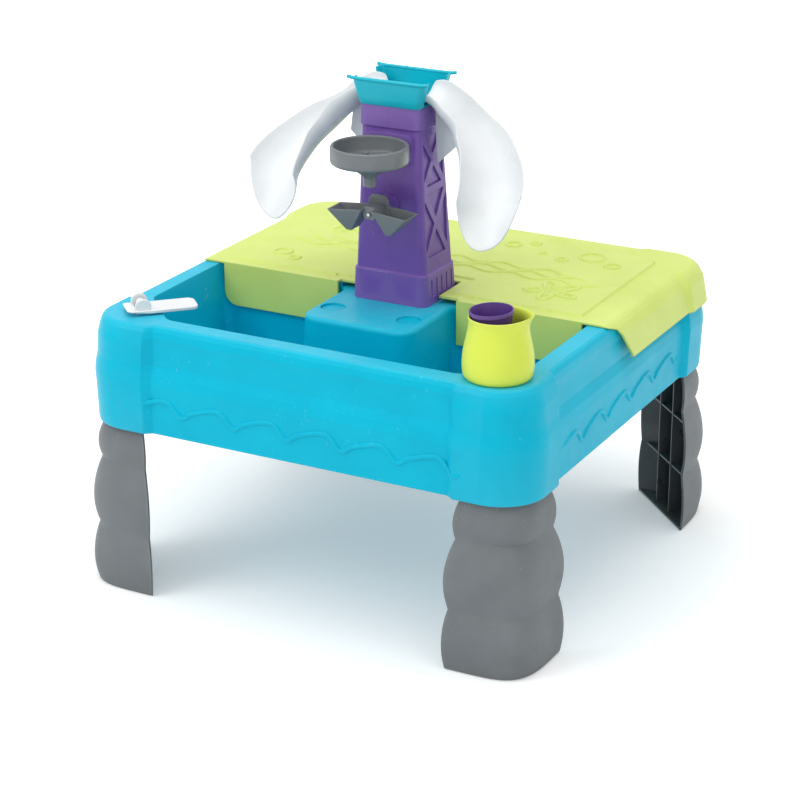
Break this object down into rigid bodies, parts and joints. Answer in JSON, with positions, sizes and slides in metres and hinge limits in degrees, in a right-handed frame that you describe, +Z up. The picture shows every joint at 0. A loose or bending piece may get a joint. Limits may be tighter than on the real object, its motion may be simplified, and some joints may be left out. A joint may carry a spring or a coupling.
{
  "type": "sand and water table",
  "caption": "Play table with water and sand compartments, a lift-off lid, a central tower with a hopper, funnel, slides and tipping scoop, and a flip launcher.",
  "frame": {"origin": "on the floor at the middle of the table's plan", "axes": "+X to the right, +Y to the back (sand side), +Z up; the water side with the funnel faces -Y"},
  "size_m": [0.8018, 0.7788, 0.813],
  "materials": {
    "basin_plastic": "moulded, satin",
    "lid_plastic": "moulded, satin",
    "leg_plastic": "moulded, satin",
    "tower_plastic": "moulded, semi-gloss",
    "hopper_plastic": "moulded, semi-gloss",
    "slide_plastic": "moulded, semi-gloss",
    "grey_plastic": "moulded, semi-gloss",
    "bucket_plastic": "moulded, semi-gloss",
    "cup_plastic": "moulded, semi-gloss",
    "screw_steel": "zinc plated"
  },
  "bodies": {
    "table": {"basin": "basin_plastic", "leg_back_right": "leg_plastic", "leg_back_left": "leg_plastic", "leg_front_right": "leg_plastic", "leg_front_left": "leg_plastic", "leg_screws": "screw_steel", "tower_left_shell": "tower_plastic", "tower_right_shell": "tower_plastic", "tower_screws": "screw_steel", "hopper": "hopper_plastic", "slide_right": "slide_plastic", "slide_left": "slide_plastic", "funnel": "grey_plastic", "scoop_pin": "screw_steel", "launcher_base": "slide_plastic", "launcher_pin": "screw_steel"},
    "lid": {"lid": "lid_plastic"},
    "tipping_scoop": {"tipping_scoop": "grey_plastic"},
    "launcher_arm": {"launcher_arm": "slide_plastic"},
    "bucket": {"bucket": "bucket_plastic"},
    "cup": {"bucket_cup": "cup_plastic"},
    "drain_plug": {"drain_plug": "grey_plastic"}
  },
  "joints": [
    {"name": "lid_lift", "type": "slide", "parent": "table", "child": "lid", "axis": [0, 0, 1], "range_m": [0, 0.1]},
    {"name": "scoop_tip", "type": "hinge", "parent": "table", "child": "tipping_scoop", "pos_m": [0, -0.12, 0.611], "axis": [0, 1, 0], "range_deg": [-40, 40]},
    {"name": "launcher_flip", "type": "hinge", "parent": "table", "child": "launcher_arm", "pos_m": [-0.312, -0.31, 0.468], "axis": [0.7071, -0.7071, 0], "range_deg": [0, 15]},
    {"name": "bucket_lift", "type": "slide", "parent": "table", "child": "bucket", "axis": [0, 0, 1], "range_m": [0, 0.2]},
    {"name": "cup_lift", "type": "slide", "parent": "bucket", "child": "cup", "axis": [0, 0, 1], "range_m": [0, 0.15]},
    {"name": "plug_pull", "type": "slide", "parent": "table", "child": "drain_plug", "axis": [0, 0, 1], "range_m": [0, 0.06]}
  ]
}
